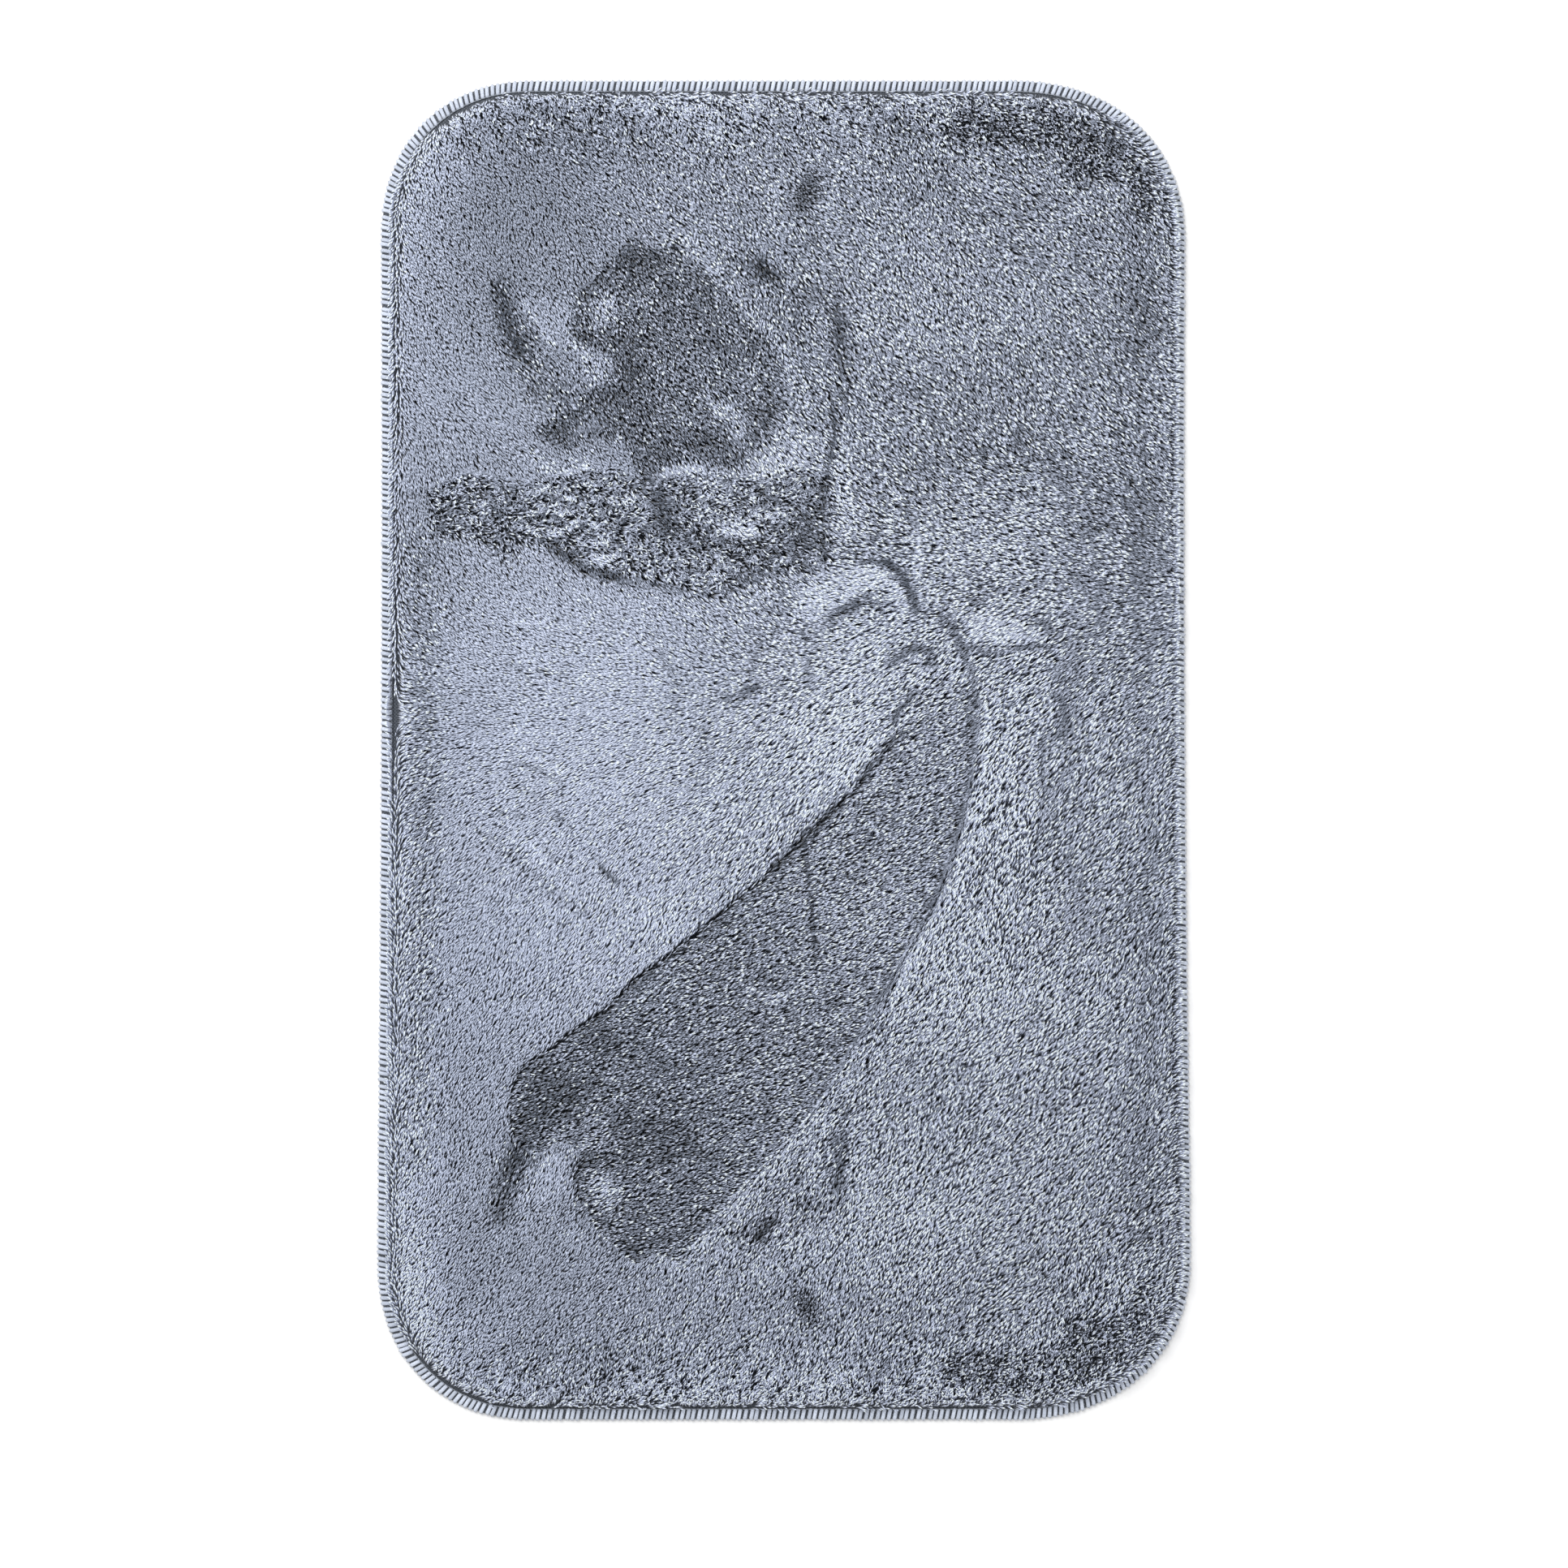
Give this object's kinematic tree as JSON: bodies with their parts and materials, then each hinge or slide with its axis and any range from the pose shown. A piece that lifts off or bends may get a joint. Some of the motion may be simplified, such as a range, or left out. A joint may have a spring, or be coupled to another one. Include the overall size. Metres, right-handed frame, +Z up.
{
  "type": "bath mat",
  "caption": "Rounded-corner rectangular bath mat with a soft cut pile, an overlocked edge and a studded non-slip underside.",
  "frame": {"origin": "under the middle of the mat, on the surface it lies on", "axes": "+X across the width, +Y along the length, +Z up through the pile"},
  "size_m": [0.607, 1, 0.019],
  "materials": {
    "grip_studs": "translucent white rubbery studs, soft satin",
    "grip_coat": "matt rubbery coating, finely pebbled",
    "latex": "matt cream latex",
    "base_cloth": "plain woven polyester",
    "pile": "brushed microfibre cut pile with a soft sheen",
    "overlock_thread": "textured polyester overlock yarn",
    "needle_thread": "spun polyester sewing thread",
    "label_satin": "blank woven satin"
  },
  "bodies": {
    "root": {"grip_studs": "grip_studs", "grip_coat": "grip_coat", "latex_tie_coat": "latex", "base_cloth": "base_cloth", "pile": "pile", "overlock_lower_thread": "overlock_thread", "overlock_upper_thread": "overlock_thread", "overlock_needle_thread": "needle_thread", "care_label": "label_satin"}
  },
  "joints": []
}
